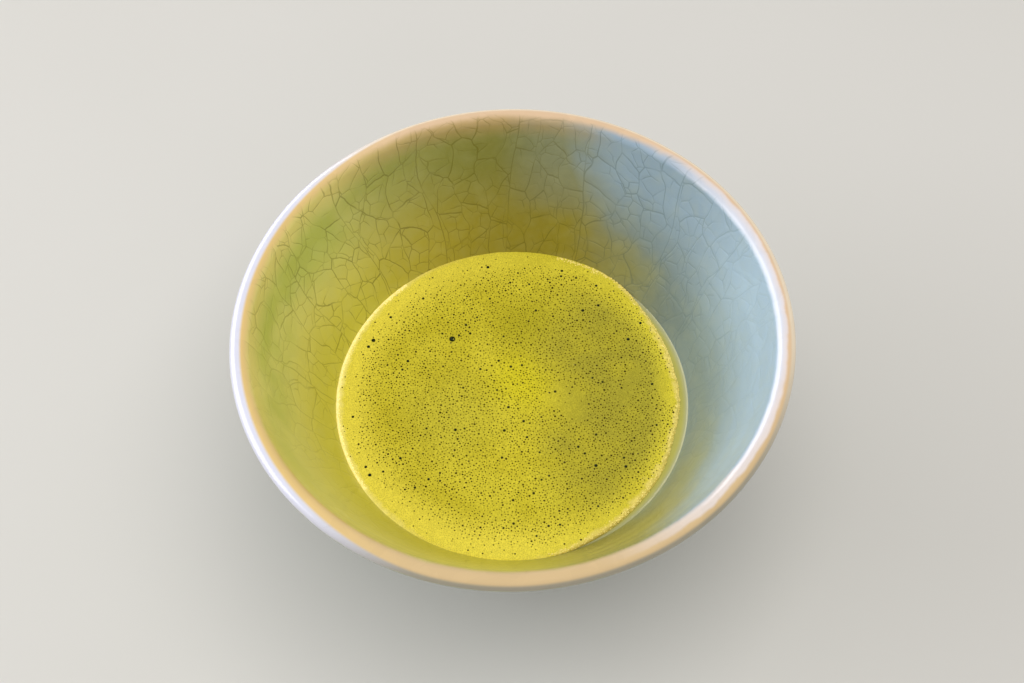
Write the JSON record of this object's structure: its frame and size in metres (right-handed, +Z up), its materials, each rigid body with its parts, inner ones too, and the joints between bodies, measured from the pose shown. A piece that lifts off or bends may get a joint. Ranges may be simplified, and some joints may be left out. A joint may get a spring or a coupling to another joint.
{
  "type": "bowl of matcha tea",
  "caption": "Round flaring ceramic tea bowl on a foot ring, with a crackled pale green-blue glaze, part filled with whisked green tea under a layer of fine foam.",
  "frame": {"origin": "on the bowl's axis, in the plane that the foot ring stands on", "axes": "+Z up along the bowl's axis; +X towards the side where the foam has drawn back from the wall; the camera of the reference view looks along +Y"},
  "size_m": [0.12, 0.12, 0.065],
  "materials": {
    "crackle_glaze": "glossy celadon crackle glaze, thin and tan at the lip",
    "tea": "wet, cloudy green tea",
    "foam": "fine bright yellow-green foam with dark bubbles"
  },
  "bodies": {
    "root": {"bowl": "crackle_glaze", "tea": "tea", "foam": "foam"}
  },
  "joints": []
}
